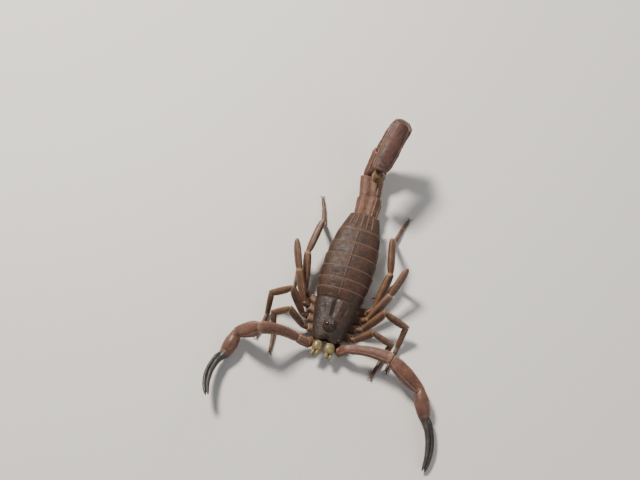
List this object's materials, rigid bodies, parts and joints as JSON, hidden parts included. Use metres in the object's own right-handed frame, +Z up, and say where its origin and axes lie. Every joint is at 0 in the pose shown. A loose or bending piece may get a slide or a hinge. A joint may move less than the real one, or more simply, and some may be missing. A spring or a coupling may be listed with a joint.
{
  "type": "babycurus jacksoni scorpion",
  "caption": "Life-size still model of an adult female bark scorpion at rest, tail folded over itself, arms spread and claws closed.",
  "frame": {"origin": "on the floor below the middle of the model's bounding box", "axes": "+Y from head to tail, +X to the animal's left, +Z up"},
  "size_m": [0.044, 0.0652, 0.016],
  "materials": {
    "cuticle": "reddish brown granular shell, satin",
    "pale_cuticle": "pale yellow-brown shell, satin",
    "dark_finger": "dark slate horn, slightly glossy",
    "sting": "glossy yellow-brown bulb with a dark tip",
    "eye": "black, wet gloss"
  },
  "bodies": {
    "root": {"carapace": "cuticle", "eye_median_left": "eye", "eye_median_right": "eye", "chelicera_left": "pale_cuticle", "chelicera_right": "pale_cuticle", "coxosternum": "cuticle", "mesosoma_1": "cuticle", "mesosoma_2": "cuticle", "mesosoma_3": "cuticle", "mesosoma_4": "cuticle", "mesosoma_5": "cuticle", "mesosoma_6": "cuticle", "mesosoma_7": "cuticle", "pectine_left": "pale_cuticle", "pectine_right": "pale_cuticle", "metasoma_1": "cuticle", "metasoma_2": "cuticle", "metasoma_3": "cuticle", "metasoma_4": "cuticle", "metasoma_5": "cuticle", "telson": "sting", "pedipalp_left_trochanter": "cuticle", "pedipalp_left_femur": "cuticle", "pedipalp_left_patella": "cuticle", "pedipalp_left_hand": "cuticle", "pedipalp_left_finger": "dark_finger", "pedipalp_right_trochanter": "cuticle", "pedipalp_right_femur": "cuticle", "pedipalp_right_patella": "cuticle", "pedipalp_right_hand": "cuticle", "pedipalp_right_finger": "dark_finger", "leg_left_1_femur": "cuticle", "leg_left_1_patella": "cuticle", "leg_left_1_foot": "cuticle", "leg_left_2_femur": "cuticle", "leg_left_2_patella": "cuticle", "leg_left_2_foot": "cuticle", "leg_left_3_femur": "cuticle", "leg_left_3_patella": "cuticle", "leg_left_3_foot": "cuticle", "leg_left_4_femur": "cuticle", "leg_left_4_patella": "cuticle", "leg_left_4_foot": "cuticle", "leg_right_1_femur": "cuticle", "leg_right_1_patella": "cuticle", "leg_right_1_foot": "cuticle", "leg_right_2_femur": "cuticle", "leg_right_2_patella": "cuticle", "leg_right_2_foot": "cuticle", "leg_right_3_femur": "cuticle", "leg_right_3_patella": "cuticle", "leg_right_3_foot": "cuticle", "leg_right_4_femur": "cuticle", "leg_right_4_patella": "cuticle", "leg_right_4_foot": "cuticle"}
  },
  "joints": []
}
